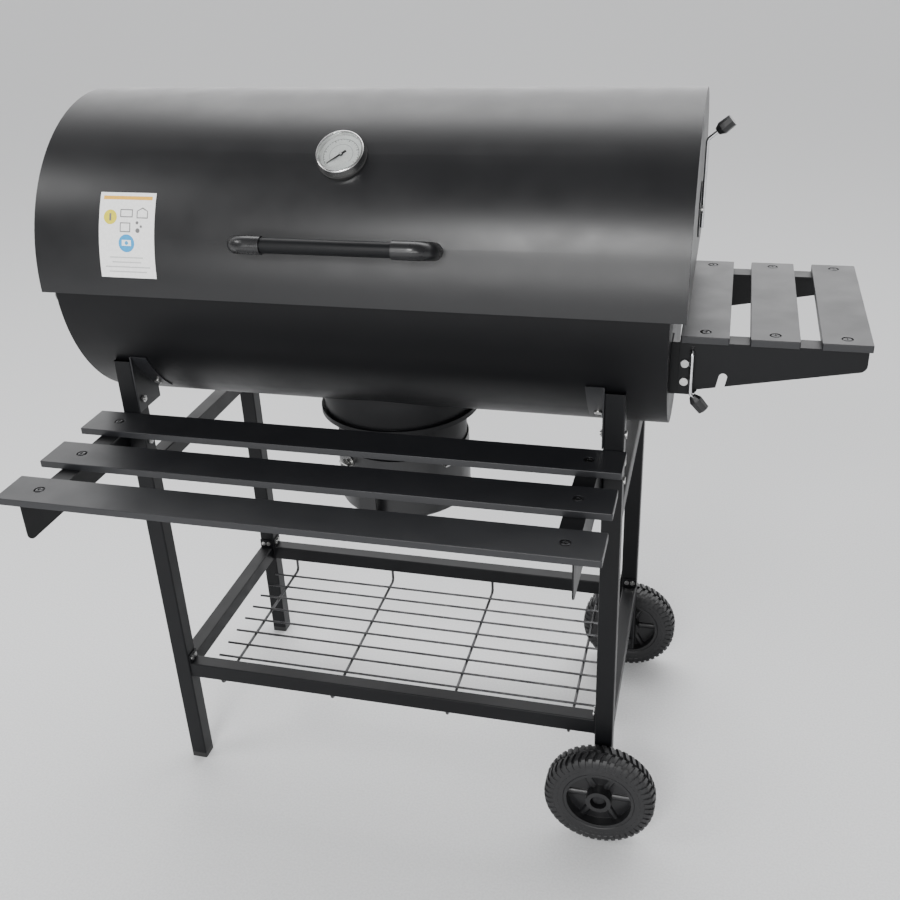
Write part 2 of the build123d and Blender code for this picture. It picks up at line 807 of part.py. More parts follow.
def shelf_mount(side):
    """Angle piece between an arm and the barrel's right end."""
    with BuildPart() as mount:
        with BuildSketch(upright(side * mount_y)):
            with BuildLine():
                Polyline((barrel_half, mount_top), (barrel_half + mount_tab, mount_top),
                         (barrel_half + mount_tab, mount_low), (barrel_half, mount_low),
                         close=True)
            make_face()
            outer_low = vertices().sort_by(Axis.X)[-2:].sort_by(Axis.Y)[0]
            fillet(outer_low, arm_corner)
            with Locations((pin_x, pin_z)):
                Circle(lever_wire_radius + running_gap, mode=Mode.SUBTRACT)
            with Locations(*[(arm_bolt_x, z) for z in arm_bolt_z]):
                Circle(shelf_screw_radius + hole_gap, mode=Mode.SUBTRACT)
        extrude(amount=side * plate)
        with BuildSketch(across(barrel_half)):
            with Locations((side * mount_y, mount_low - axis_z)):
                Rectangle(mount_flange, mount_top - mount_low,
                          align=(Align.MIN if side < 0 else Align.MAX, Align.MIN))
            with Locations(*[(side * mount_bolt_y, z - axis_z) for z in mount_bolt_z]):
                Circle(shelf_screw_radius + hole_gap, mode=Mode.SUBTRACT)
        extrude(amount=plate)
    return mount


def slat(length, width, view, screw_places):
    """Folded channel, open underneath; view is the plane of its top, centred on it."""
    with BuildPart() as channel:
        with BuildSketch(view):
            RectangleRounded(length, width, 2.0)
        extrude(amount=-slat_depth)
        top = channel.faces().sort_by(Axis.Z)[-1]
        fillet(top.edges(), 1.0)
        with BuildSketch(view.offset(-slat_wall)):
            Rectangle(length - 2 * slat_wall, width - 2 * slat_wall)
        extrude(amount=-slat_depth, mode=Mode.SUBTRACT)
        with BuildSketch(view.offset(-slat_wall)):
            with Locations(*screw_places):
                Circle(dimple_radius + slat_wall)
        extrude(amount=-dimple_depth)
        with BuildSketch(view):
            with Locations(*screw_places):
                Circle(dimple_radius)
        extrude(amount=-dimple_depth, mode=Mode.SUBTRACT)
        with BuildSketch(view):
            with Locations(*screw_places):
                Circle(shelf_screw_radius + hole_gap)
        extrude(amount=-slat_depth, mode=Mode.SUBTRACT)
    return channel


save(together([shelf_arm(side) for side in (-1, 1)]), "side_arms")
save(together([shelf_mount(side) for side in (-1, 1)]), "side_mounts")
side_slats = []
for x in side_slat_x:
    view = Plane(origin=spot(x, 0, side_shelf_top), x_dir=(0, 1, 0), z_dir=(0, 0, 1))
    side_slats.append(slat(2 * side_shelf_half_y, slat_width, view,
                           [(-screw_y, 0), (screw_y, 0)]))
save(together(side_slats), "side_slats")

# pin lever through the front arm: it swings out about the pin
pin_out_y = -arm_face_y - 9.5
pin_lean = radians(50)
with BuildPart() as pin_lever:
    with BuildLine() as pin_path:
        FilletPolyline(
            spot(pin_x, -mount_y + 9, pin_z),
            spot(pin_x, pin_out_y, pin_z),
            spot(pin_x, pin_out_y, pin_z - pin_drop),
            spot(pin_x + pin_stub * cos(pin_lean), pin_out_y,
                 pin_z - pin_drop - pin_stub * sin(pin_lean)),
            radius=pin_bend)
    with BuildSketch(Plane(origin=pin_path.line @ 0, z_dir=pin_path.line % 0)):
        Circle(lever_wire_radius)
    sweep()
save(pin_lever, "pin_lever")

pin_tip = spot(pin_x + pin_stub * cos(pin_lean), pin_out_y,
               pin_z - pin_drop - pin_stub * sin(pin_lean))
pin_way = (cos(pin_lean), 0, -sin(pin_lean))
save(knob(Plane(origin=pin_tip, x_dir=(0, 1, 0), z_dir=pin_way)), "pin_knob")

# ---------------------------------------------------------------- legs and rails
leg_mid_x = cart_half_x - leg_size / 2
leg_mid_y = cart_half_y - leg_size / 2
right_leg_low = wheel_radius - leg_below_axle
long_rail_y = cart_half_y - 3 - rail_width / 2
cross_rail_x = cart_half_x - rail_width / 2


def leg(side_x, side_y):
    """Square tube leg, its top coped to the barrel; right legs carry an axle bolt."""
    low = foot_cap if side_x < 0 else right_leg_low
    with BuildPart() as tube:
        with BuildSketch(level(low)):
            with Locations((side_x * leg_mid_x, side_y * leg_mid_y)):
                RectangleRounded(leg_size, leg_size, 2.5)
                Rectangle(leg_size - 2 * leg_wall, leg_size - 2 * leg_wall, mode=Mode.SUBTRACT)
        extrude(amount=leg_top - low)
        with BuildSketch(across(side_x * leg_mid_x - leg_size)):
            Circle(barrel_radius)
        extrude(amount=2 * leg_size, mode=Mode.SUBTRACT)
        if side_x > 0:
            with BuildSketch(upright(side_y * leg_mid_y - leg_size)):
                with Locations((leg_mid_x, wheel_radius)):
                    Circle(axle_radius + hole_gap)
            extrude(amount=-2 * leg_size, mode=Mode.SUBTRACT)
        with BuildSketch(across(side_x * leg_mid_x - leg_size)):
            with Locations(*[(side_y * leg_mid_y, z - axis_z) for z in leg_bolt_heights[side_y]]):
                Circle(shelf_screw_radius + hole_gap)
        extrude(amount=2 * leg_size, mode=Mode.SUBTRACT)
        steps = (-tab_screw_half, tab_screw_half)
        with BuildSketch(across(side_x * (leg_inner_x - 1))):
            with Locations(*[(side_y * long_rail_y + step, lower_rail_top + tab_screw_rise - axis_z)
                             for step in steps]):
                Circle(frame_screw_radius)
        extrude(amount=side_x * (leg_wall + 2), mode=Mode.SUBTRACT)
        with BuildSketch(upright(side_y * (leg_inner_y - 1))):
            with Locations(*[(side_x * cross_rail_x + step, top + tab_screw_rise)
                             for step in steps for top in (lower_rail_top, upper_rail_top)]):
                Circle(frame_screw_radius)
        extrude(amount=-side_y * (leg_wall + 2), mode=Mode.SUBTRACT)
    return tube


save(leg(-1, -1), "leg_front_left")
save(leg(1, -1), "leg_front_right")
save(leg(-1, 1), "leg_back_left")
save(leg(1, 1), "leg_back_right")

with BuildPart() as foot_caps:
    for side in (-1, 1):
        with BuildSketch(level(0)):
            with Locations((-leg_mid_x, side * leg_mid_y)):
                RectangleRounded(leg_size, leg_size, 2.5)
        extrude(amount=foot_cap)
        with BuildSketch(level(foot_cap)):
            with Locations((-leg_mid_x, side * leg_mid_y)):
                Rectangle(leg_size - 2 * leg_wall - 0.4, leg_size - 2 * leg_wall - 0.4)
        extrude(amount=14)
save(foot_caps, "foot_caps")


def rail(start, way, length, width_way):
    """Square tube between two legs with a screwed tab standing up at each end.

    start is the middle of the rail's end at its top; way runs along the rail.
    """
    end_on = Plane(origin=start, x_dir=width_way, z_dir=way)
    drop = end_on.y_dir.Z
    with BuildPart() as tube:
        with BuildSketch(end_on):
            with Locations((0, -drop * rail_height / 2)):
                RectangleRounded(rail_width, rail_height, 2.0)
                Rectangle(rail_width - 2 * leg_wall, rail_height - 2 * leg_wall,
                          mode=Mode.SUBTRACT)
        extrude(amount=length)
        for end in (end_on, end_on.offset(length - tab_thickness)):
            with BuildSketch(end):
                with Locations((0, drop * (tab_rise - rail_height) / 2)):
                    Rectangle(rail_width, rail_height + tab_rise)
                with Locations((-tab_screw_half, drop * tab_screw_rise),
                               (tab_screw_half, drop * tab_screw_rise)):
                    Circle(frame_screw_radius + hole_gap, mode=Mode.SUBTRACT)
            extrude(amount=tab_thickness)
    return tube


long_rails = [rail(spot(-leg_inner_x, side * long_rail_y, lower_rail_top), (1, 0, 0),
                   2 * leg_inner_x, (0, 1, 0)) for side in (-1, 1)]
save(long_rails[0], "rail_front")
save(long_rails[1], "rail_back")

cross_rails = []
for side in (-1, 1):
    for top in (lower_rail_top, upper_rail_top):
        start = spot(side * cross_rail_x, -leg_inner_y, top)
        cross_rails.append(rail(start, (0, 1, 0), 2 * leg_inner_y, (1, 0, 0)))
save(together(cross_rails), "cross_rails")

# pan-head screws through the rails' tabs into the legs
tab_screws = []
tab_grip = tab_thickness + leg_wall
for side_x in (-1, 1):
    for side_y in (-1, 1):
        for step in (-tab_screw_half, tab_screw_half):
            seat = spot(side_x * (leg_inner_x - tab_thickness), side_y * long_rail_y + step,
                        lower_rail_top + tab_screw_rise)
            tab_screws.append((Plane(origin=seat, z_dir=(-side_x, 0, 0)), tab_grip))
            for top in (lower_rail_top, upper_rail_top):
                seat = spot(side_x * cross_rail_x + step, side_y * (leg_inner_y - tab_thickness),
                            top + tab_screw_rise)
                tab_screws.append((Plane(origin=seat, z_dir=(0, -side_y, 0)), tab_grip))
save(fasteners(tab_screws, frame_screw_radius, 4.2, 2.2, 0), "rail_screws")

# ---------------------------------------------------------------- lugs under the barrel
lug_plate_x = leg_inner_x - plate


def barrel_lug(side_x, side_y):
    """Plate on a leg's inner face with a curved flange under the barrel."""
    with BuildPart() as lug:
        with BuildSketch(across(side_x * leg_inner_x)):
            with Locations((side_y * cart_half_y, lug_low - axis_z)):
                Rectangle(lug_span, leg_top - lug_low + 8,
                          align=(Align.MIN if side_y < 0 else Align.MAX, Align.MIN))
            Circle(barrel_radius, mode=Mode.SUBTRACT)
            with Locations((side_y * leg_mid_y, lug_bolt_z - axis_z)):
                Circle(shelf_screw_radius + hole_gap, mode=Mode.SUBTRACT)
        extrude(amount=-side_x * plate)
        with BuildSketch(across(side_x * leg_inner_x)):
            with Locations((side_y * cart_half_y, lug_low - axis_z)):
                Rectangle(lug_span, leg_top - lug_low + 8,
                          align=(Align.MIN if side_y < 0 else Align.MAX, Align.MIN))
            Circle(barrel_radius, mode=Mode.SUBTRACT)
            Circle(barrel_radius + plate, mode=Mode.INTERSECT)
        extrude(amount=-side_x * lug_width)
        turn = lug_bolt_angle if side_y < 0 else 180 - lug_bolt_angle
        with BuildSketch(radial(side_x * lug_x, -turn, barrel_radius + 2 * plate)):
            Circle(lug_bolt_radius + hole_gap)
        extrude(amount=-4 * plate, mode=Mode.SUBTRACT)
    return lug


save(together([barrel_lug(x, y) for x in (-1, 1) for y in (-1, 1)]), "barrel_lugs")

# ---------------------------------------------------------------- front shelf
bracket_top = front_shelf_top - slat_depth
bracket_front = front_reach - bracket_setback
flange_back = cart_half_y + 1.0


def shelf_bracket(leg_face, flange_low_x):
    """L bracket on a leg's face: an upright plate with a flange under the slats."""
    low = bracket_top - bracket_height - axis_z
    high = bracket_top - axis_z
    with BuildPart() as bracket:
        with BuildSketch(across(leg_face)):
            with BuildLine():
                Polyline((-leg_inner_y, high), (-bracket_front, high), (-bracket_front, low),
                         (-leg_inner_y, low), close=True)
            make_face()
            front_low = vertices().sort_by(Axis.X)[:2].sort_by(Axis.Y)[0]
            fillet(front_low, bracket_corner)
            with Locations(*[(-leg_mid_y, z - axis_z) for z in bracket_bolt_z]):
                Circle(shelf_screw_radius + hole_gap, mode=Mode.SUBTRACT)
        extrude(amount=-plate)
        with BuildSketch(level(bracket_top - plate)):
            with Locations((flange_low_x, -bracket_front)):
                Rectangle(flange_width, bracket_front - flange_back,
                          align=(Align.MIN, Align.MIN))
            with Locations(*[(flange_low_x + flange_width / 2, y) for y in front_slat_y]):
                Circle(shelf_screw_radius + hole_gap, mode=Mode.SUBTRACT)
        extrude(amount=plate)
    return bracket


left_flange = -cart_half_x - plate
right_flange = leg_inner_x - flange_width
save(shelf_bracket(-cart_half_x, left_flange), "bracket_left")
save(shelf_bracket(leg_inner_x, right_flange), "bracket_right")

bracket_screw_x = (left_flange + flange_width / 2, right_flange + flange_width / 2)
slat_mid_x = (front_slat_left + front_slat_right) / 2
front_slats = []
for y in front_slat_y:
    view = Plane(origin=spot(slat_mid_x, y, front_shelf_top))
    front_slats.append(slat(front_slat_right - front_slat_left, slat_width, view,
                            [(x - slat_mid_x, 0) for x in bracket_screw_x]))
save(together(front_slats), "front_slats")

# screws down through the slats and flanges, with nuts underneath
shelf_grip = slat_depth + plate - dimple_depth
shelf_screws = [(Plane(origin=spot(x, y, front_shelf_top - dimple_depth)), shelf_grip)
                for x in bracket_screw_x for y in front_slat_y]
shelf_screws += [(Plane(origin=spot(x, side * screw_y, side_shelf_top - dimple_depth)),
                  shelf_grip) for x in side_slat_x for side in (-1, 1)]
save(fasteners(shelf_screws, shelf_screw_radius, shelf_head_radius, shelf_head_height,
               nut_height), "shelf_screws")

# bolts of the cart: brackets and lugs on the legs, lugs and side shelf on the barrel
frame_bolts = []
for z in bracket_bolt_z:
    frame_bolts.append((Plane(origin=spot(-cart_half_x - plate, -leg_mid_y, z),
                              z_dir=(-1, 0, 0)), leg_size + plate))
    frame_bolts.append((Plane(origin=spot(cart_half_x, -leg_mid_y, z),
                              z_dir=(1, 0, 0)), leg_size + plate))
for side in (-1, 1):
    for side_y in (-1, 1):
        frame_bolts.append((Plane(origin=spot(side * cart_half_x, side_y * leg_mid_y, lug_bolt_z),
                                  z_dir=(side, 0, 0)), leg_size + plate))
        turn = lug_bolt_angle if side_y < 0 else 180 - lug_bolt_angle
        frame_bolts.append((radial(side * lug_x, -turn, barrel_radius + plate),
                            plate + sheet + seat_gap))
for side in (-1, 1):
    for z in arm_bolt_z:
        frame_bolts.append((Plane(origin=spot(arm_bolt_x, side * arm_face_y, z),
                                  z_dir=(0, side, 0)), 2 * plate))
    for z in mount_bolt_z:
        frame_bolts.append((Plane(origin=spot(barrel_half + plate, side * mount_bolt_y, z),
                                  z_dir=(1, 0, 0)), plate + sheet))
cart_bolts = fasteners(frame_bolts, shelf_screw_radius, bolt_head_radius, bolt_head_height,
                       nut_height)
save(together([cart_bolts, end_screws]), "frame_bolts")

# ---------------------------------------------------------------- wheels
half_width = wheel_width / 2
wheel_mid_y = cart_half_y + wheel_gap + half_width


def wheel_tyre(side):
    """Ribbed tyre; the two rows of grooves are half a step apart."""
    middle = Plane(origin=spot(leg_mid_x, side * wheel_mid_y, wheel_radius),
                   x_dir=(1, 0, 0), z_dir=(0, side, 0))
    section = Plane(origin=middle.origin, x_dir=(0, side, 0), z_dir=(1, 0, 0))
    side_points = [(half_width - 2, hub_radius), (half_width, hub_radius + 5),
                   (half_width, wheel_radius - 10), (half_width - 2.5, wheel_radius - 3),
                   (half_width - 8, wheel_radius)]
    with BuildPart() as tyre:
        with BuildSketch(section):
            with BuildLine():
                Polyline(*side_points, *[(-w, r) for w, r in reversed(side_points)], close=True)
            make_face()
            with Locations((0, wheel_radius)):
                Rectangle(2.4, 2 * tread_depth, mode=Mode.SUBTRACT)
        revolve(axis=Axis(middle.origin, (0, 1, 0)))
        for first, turn in ((4.0, 0), (-half_width, 180 / tread_count)):
            with BuildSketch(middle.offset(first)):
                with PolarLocations(wheel_radius, tread_count, start_angle=turn):
                    Rectangle(2 * tread_depth + 2, tread_gap)
            extrude(amount=half_width - 4.0, mode=Mode.SUBTRACT)
    return tyre


def wheel_hub(side):
    """Plastic hub: rim, web, boss with a recess for the bolt's head, and round ribs."""
    middle = Plane(origin=spot(leg_mid_x, side * wheel_mid_y, wheel_radius),
                   x_dir=(1, 0, 0), z_dir=(0, side, 0))
    section = Plane(origin=middle.origin, x_dir=(0, side, 0), z_dir=(1, 0, 0))
    with BuildPart() as hub:
        with BuildSketch(section):
            with Locations((0, hub_radius)):
                Rectangle(wheel_width - 4, hub_rim, align=(Align.CENTER, Align.MAX))
            Rectangle(web_thickness, hub_radius - 1, align=(Align.CENTER, Align.MIN))
            Rectangle(wheel_width, boss_radius, align=(Align.CENTER, Align.MIN))
            Rectangle(2 * wheel_width, axle_radius + running_gap,
                      align=(Align.CENTER, Align.MIN), mode=Mode.SUBTRACT)
            with Locations((half_width - boss_recess, 0)):
                Rectangle(2 * boss_recess, boss_recess_radius, align=(Align.MIN, Align.MIN),
                          mode=Mode.SUBTRACT)
        revolve(axis=Axis(middle.origin, (0, 1, 0)))
        for number in range(spoke_count):
            turn = radians(number * 360 / spoke_count)
            out = (cos(turn), 0, sin(turn))
            with BuildSketch(Plane(origin=middle.origin, z_dir=out).offset(boss_radius - 4)):
                Circle(spoke_radius)
            extrude(amount=hub_radius - hub_rim - boss_radius + 6)
    return hub


save(wheel_tyre(-1), "tyre_front")
save(wheel_tyre(1), "tyre_back")
save(wheel_hub(-1), "hub_front")
save(wheel_hub(1), "hub_back")

bolt_seat = cart_half_y + wheel_gap + wheel_width - boss_recess + touch_gap
axle_ends = [(Plane(origin=spot(leg_mid_x, side * bolt_seat, wheel_radius), z_dir=(0, side, 0)),
              bolt_seat - leg_inner_y) for side in (-1, 1)]
axle_only = fasteners(axle_ends, axle_radius, 9.0, 5.5, 8.0)
with BuildPart() as axle_bolts:
    add(axle_only.part)
    for side in (-1, 1):
        with BuildSketch(upright(side * cart_half_y)):
            with Locations((leg_mid_x, wheel_radius)):
                Circle(2 * axle_radius)
        extrude(amount=-side * (wheel_gap - touch_gap))
save(axle_bolts, "axle_bolts")

# ---------------------------------------------------------------- wire rack
rack_bar_y = leg_inner_y + 4.0
rail_under = lower_rail_top - rail_height
with BuildPart() as rack_bars:
    for number in range(rack_bar_count):
        x = (number - (rack_bar_count - 1) / 2) * rack_bar_pitch
        with BuildLine() as bar_path:
            FilletPolyline(spot(x, -rack_bar_y, rail_under), spot(x, -rack_bar_y, rack_z),
                           spot(x, rack_bar_y, rack_z), spot(x, rack_bar_y, rail_under),
                           radius=rack_bend)
        with BuildSketch(Plane(origin=bar_path.line @ 0, z_dir=bar_path.line % 0)):
            Circle(rack_bar_radius)
        sweep()
save(rack_bars, "rack_bars")

# the wires lie on the bars
wire_z = rack_z + rack_bar_radius + rack_wire_radius
with BuildPart() as rack_wires:
    with BuildSketch(across(-rack_half_x)):
        for number in range(rack_wire_count):
            y = (number - (rack_wire_count - 1) / 2) * rack_wire_pitch
            with Locations((y, wire_z - axis_z)):
                Circle(rack_wire_radius)
    extrude(amount=2 * rack_half_x)
save(rack_wires, "rack_wires")

# ---------------------------------------------------------------- ash catcher
wing_places = [around(turn, wing_z) for turn in wing_angles]

with BuildPart() as ash_collar:
    with BuildSketch(level(collar_low)):
        Circle(collar_radius)
        Circle(collar_radius - bucket_wall, mode=Mode.SUBTRACT)
    extrude(amount=barrel_radius / 2)
    with BuildSketch(level(collar_low)):
        Circle(collar_radius + collar_rim)
        Circle(collar_radius - bucket_wall, mode=Mode.SUBTRACT)
    extrude(amount=collar_rim_height)
    with BuildSketch(across(-2 * collar_radius)):
        Circle(barrel_radius)
    extrude(amount=4 * collar_radius, mode=Mode.SUBTRACT)
    with BuildSketch(level(collar_low)):
        Circle(collar_radius)
        Circle(sleeve_radius - bucket_wall, mode=Mode.SUBTRACT)
    extrude(amount=bucket_wall)
    with BuildSketch(level(sleeve_low)):
        Circle(sleeve_radius)
        Circle(sleeve_radius - bucket_wall, mode=Mode.SUBTRACT)
    extrude(amount=collar_low - sleeve_low)
    for place in wing_places:
        with BuildSketch(place.offset(sleeve_radius - 5)):
            Circle(lug_bolt_radius)
        extrude(amount=10, mode=Mode.SUBTRACT)
save(ash_collar, "ash_collar")

wing_seat = bucket_radius + touch_gap
with BuildPart() as wing_screws:
    for place in wing_places:
        with BuildSketch(place.offset(sleeve_radius - bucket_wall - wing_tail)):
            Circle(lug_bolt_radius)
        extrude(amount=wing_seat + wing_flange - sleeve_radius + bucket_wall + wing_tail)
        with BuildSketch(place.offset(wing_seat)):
            Circle(wing_flange_radius)
        extrude(amount=wing_flange)
        with BuildSketch(place.offset(wing_seat + wing_flange)):
            Circle(wing_boss_radius)
        extrude(amount=wing_boss)
        with BuildSketch(place.offset(wing_seat + wing_flange + wing_thickness)):
            Rectangle(wing_span, wing_thickness)
        extrude(amount=wing_reach)
        with BuildSketch(place.offset(sleeve_radius - bucket_wall - wing_nut_gap)):
            RegularPolygon(lug_bolt_radius * 2, 6)
        extrude(amount=-wing_nut)
save(wing_screws, "wing_screws")

bucket_front = Plane(origin=spot(0, 0, 0), x_dir=(1, 0, 0), z_dir=(0, -1, 0))
with BuildPart() as ash_bucket:
    with BuildSketch(bucket_front):
        with BuildLine():
            Polyline((0, bucket_low), (bucket_radius, bucket_low), (bucket_radius, bucket_top),
                     (bucket_radius - bucket_wall, bucket_top),
                     (bucket_radius - bucket_wall, bucket_low + bucket_wall),
                     (0, bucket_low + bucket_wall), close=True)
        make_face()
        outer_corner = vertices().sort_by_distance((bucket_radius, bucket_low))[0]
        fillet(outer_corner, bucket_corner)
        inner_spot = (bucket_radius - bucket_wall, bucket_low + bucket_wall)
        inner_corner = vertices().sort_by_distance(inner_spot)[0]
        fillet(inner_corner, bucket_corner - bucket_wall)
    revolve(axis=Axis(spot(0, 0, 0), (0, 0, 1)))
    for place in wing_places:
        with BuildSketch(place.offset(bucket_radius - 5)):
            Circle(wing_slot / 2)
            Rectangle(wing_slot, bucket_top - wing_z + 5, align=(Align.CENTER, Align.MIN))
        extrude(amount=10, mode=Mode.SUBTRACT)
    for turn in (70, 90, 110):
        with BuildSketch(around(turn, 530).offset(bucket_radius - 8)):
            Circle(bucket_vent_radius)
        extrude(amount=12, mode=Mode.SUBTRACT)
save(ash_bucket, "ash_bucket")

with BuildPart() as ash_strap:
    with BuildSketch(across(strap_x - strap_width / 2)):
        with Locations((-bucket_radius - strap_reach / 2 + 3, strap_mid_z - axis_z)):
            RectangleRounded(strap_reach + 6, strap_height, 8)
            RectangleRounded(strap_reach + 6 - 2 * strap_thickness,
                             strap_height - 2 * strap_thickness, 5, mode=Mode.SUBTRACT)
    extrude(amount=strap_width)
    with BuildSketch(level(bucket_low)):
        Circle(bucket_radius)
    extrude(amount=bucket_top - bucket_low, mode=Mode.SUBTRACT)
save(ash_strap, "ash_strap")

# ---------------------------------------------------------------- inside the barrel
ledge_half = barrel_half - sheet - ledge_end_gap
with BuildPart() as ledges:
    with BuildSketch(across(-ledge_half)):
        for side in (-1, 1):
            with Locations((side * grate_ledge_y, grate_z - axis_z),
                           (side * tray_ledge_y, tray_rim_z - touch_gap - axis_z)):
                Rectangle(barrel_radius, plate,
                          align=(Align.MAX if side < 0 else Align.MIN, Align.MAX))
        Circle(barrel_inner, mode=Mode.INTERSECT)
    extrude(amount=2 * ledge_half)
save(ledges, "ledges")

tray_half = barrel_half - sheet - tray_end_gap
with BuildPart() as coal_tray:
    low_line = [(-tray_rim_half - tray_lip, tray_rim_z), (-tray_rim_half, tray_rim_z),
                (-tray_floor_half, tray_floor_z), (tray_floor_half, tray_floor_z),
                (tray_rim_half, tray_rim_z), (tray_rim_half + tray_lip, tray_rim_z)]
    with BuildSketch(across(-tray_half)):
        with BuildLine():
            Polyline(*[(y, z - axis_z) for y, z in low_line],
                     *[(y, z + sheet - axis_z) for y, z in reversed(low_line)], close=True)
        make_face()
    extrude(amount=2 * tray_half)
    for end in (-tray_half, tray_half - sheet):
        with BuildSketch(across(end)):
            with BuildLine():
                Polyline(*[(y, z + sheet - axis_z) for y, z in low_line[1:-1]], close=True)
            make_face()
        extrude(amount=sheet)
    with BuildSketch(level(tray_floor_z - 1)):
        with GridLocations(tray_slot_pitch, tray_slot_row, 8, 6):
            SlotOverall(tray_slot_length, tray_slot_width)
    extrude(amount=sheet + 2, mode=Mode.SUBTRACT)
save(coal_tray, "coal_tray")


def cooking_grate(side):
    """Half of the cooking surface: a flat-bar frame with round bars front to back."""
    inner = grate_gap / 2
    outer = barrel_half - sheet - grate_end_gap
    middle = side * (inner + outer) / 2
    length = outer - inner
    low = grate_z + touch_gap
    with BuildPart() as grate:
        with BuildSketch(level(low)):
            with Locations((middle, 0)):
                RectangleRounded(length, 2 * grate_half_y, grate_corner)
                RectangleRounded(length - 2 * grate_rim, 2 * (grate_half_y - grate_rim),
                                 grate_corner - grate_rim, mode=Mode.SUBTRACT)
        extrude(amount=grate_rim)
        with BuildSketch(upright(-grate_half_y + grate_rim / 2)):
            count = int((length - 2 * grate_bar_pitch) / grate_bar_pitch) + 1
            with Locations((middle, low + grate_rim / 2)):
                with GridLocations(grate_bar_pitch, 1, count, 1):
                    Circle(grate_bar_radius)
        extrude(amount=-2 * grate_half_y + grate_rim)
    return grate


save(cooking_grate(-1), "grate_left")
save(cooking_grate(1), "grate_right")
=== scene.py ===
"""Looks of the barrel charcoal grill: finishes, tyres, screw heads, prints, light and camera."""

import json
from math import atan2, cos, hypot, pi, radians, sin

import bmesh
import bpy
from mathutils import Matrix, Vector


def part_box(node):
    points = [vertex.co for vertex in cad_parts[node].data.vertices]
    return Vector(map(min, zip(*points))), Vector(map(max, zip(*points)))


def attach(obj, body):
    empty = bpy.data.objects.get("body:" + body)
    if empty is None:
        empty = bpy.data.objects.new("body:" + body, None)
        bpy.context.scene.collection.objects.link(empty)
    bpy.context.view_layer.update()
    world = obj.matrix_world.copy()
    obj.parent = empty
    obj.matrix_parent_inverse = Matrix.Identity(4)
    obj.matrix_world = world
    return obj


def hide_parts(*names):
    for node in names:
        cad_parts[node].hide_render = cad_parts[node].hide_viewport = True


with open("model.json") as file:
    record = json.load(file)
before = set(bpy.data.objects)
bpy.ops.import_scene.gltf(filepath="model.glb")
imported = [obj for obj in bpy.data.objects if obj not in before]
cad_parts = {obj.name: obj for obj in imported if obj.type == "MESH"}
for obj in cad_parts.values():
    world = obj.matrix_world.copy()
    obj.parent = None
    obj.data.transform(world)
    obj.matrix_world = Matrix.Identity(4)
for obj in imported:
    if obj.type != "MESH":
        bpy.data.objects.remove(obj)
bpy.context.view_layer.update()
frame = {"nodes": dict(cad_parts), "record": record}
nodes = frame["nodes"]


# ---------------------------------------------------------------- places from the frame
def middle(node):
    """Middle of a node's box."""
    low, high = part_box(node)
    return (Vector(low) + Vector(high)) / 2


def size(node):
    """Size of a node's box."""
    low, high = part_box(node)
    return Vector(high) - Vector(low)


mm = 0.001
barrel_middle = middle("barrel_shell")
# The barrel and the lid share one axis along X, which is at this place in Y and Z.
axis_y = barrel_middle.y
axis_z = 0.898
lid_radius = max(hypot(v.co.y - axis_y, v.co.z - axis_z)
                 for v in nodes["lid_shell"].data.vertices)


# ---------------------------------------------------------------- materials
# Noise is mostly within these values, which are stretched over the full change.
number_noise_low, number_noise_high = 0.3, 0.7
tint_noise_low, tint_noise_high = 0.35, 0.65
bevel_samples = 6


def material(name, color, roughness, metallic=0.0, specular=0.5):
    """New material with a plain Principled surface."""
    made = bpy.data.materials.new(name)
    made.use_nodes = True
    shader = made.node_tree.nodes["Principled BSDF"]
    shader.inputs["Base Color"].default_value = (*color, 1)
    shader.inputs["Roughness"].default_value = roughness
    shader.inputs["Metallic"].default_value = metallic
    shader.inputs["Specular IOR Level"].default_value = specular
    return made


def place_noise(made, scale, detail=2.0, stretch=(1, 1, 1)):
    """Noise over the object's own coordinates; returns its node."""
    tree = made.node_tree
    coordinates = tree.nodes.new("ShaderNodeTexCoord")
    mapping = tree.nodes.new("ShaderNodeMapping")
    mapping.inputs["Scale"].default_value = stretch
    noise = tree.nodes.new("ShaderNodeTexNoise")
    noise.inputs["Scale"].default_value = scale
    noise.inputs["Detail"].default_value = detail
    tree.links.new(coordinates.outputs["Object"], mapping.inputs["Vector"])
    tree.links.new(mapping.outputs["Vector"], noise.inputs["Vector"])
    return noise


def spread(made, noise, low, high, socket):
    """Map noise to a range on one of the shader's number sockets."""
    tree = made.node_tree
    ranged = tree.nodes.new("ShaderNodeMapRange")
    ranged.inputs["From Min"].default_value = number_noise_low
    ranged.inputs["From Max"].default_value = number_noise_high
    ranged.inputs["To Min"].default_value = low
    ranged.inputs["To Max"].default_value = high
    tree.links.new(noise.outputs["Fac"], ranged.inputs["Value"])
    tree.links.new(ranged.outputs["Result"], tree.nodes["Principled BSDF"].inputs[socket])


def tint(made, noise, dark, light):
    """Mix two base colours by noise."""
    tree = made.node_tree
    ramp = tree.nodes.new("ShaderNodeValToRGB")
    ramp.color_ramp.elements[0].position = tint_noise_low
    ramp.color_ramp.elements[1].position = tint_noise_high
    ramp.color_ramp.elements[0].color = (*dark, 1)
    ramp.color_ramp.elements[1].color = (*light, 1)
    tree.links.new(noise.outputs["Fac"], ramp.inputs["Fac"])
    tree.links.new(ramp.outputs["Color"], tree.nodes["Principled BSDF"].inputs["Base Color"])


